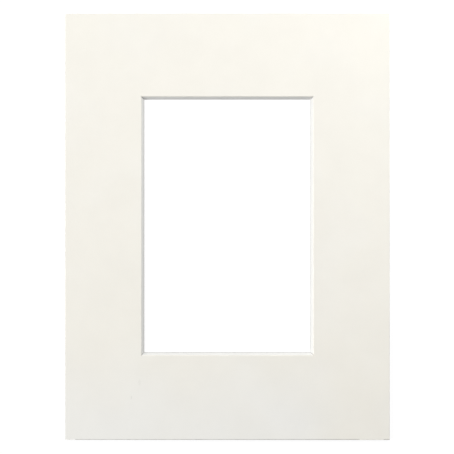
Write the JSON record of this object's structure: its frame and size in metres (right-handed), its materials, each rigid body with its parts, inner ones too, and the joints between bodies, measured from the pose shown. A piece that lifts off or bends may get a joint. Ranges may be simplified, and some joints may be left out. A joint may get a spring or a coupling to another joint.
{
  "type": "picture mount",
  "caption": "Flat ivory picture mount of white-cored board, with a rectangular window cut at a bevel to border a small print in a frame.",
  "frame": {"origin": "middle of the outline, on the back of the sheet", "axes": "+X across the sheet, +Y towards the top of the picture, +Z out of the face; the sheet lies on its back"},
  "size_m": [0.18, 0.2364, 0.0016],
  "materials": {
    "mount_board": "matte"
  },
  "bodies": {
    "root": {"mount_board": "mount_board"}
  },
  "joints": []
}
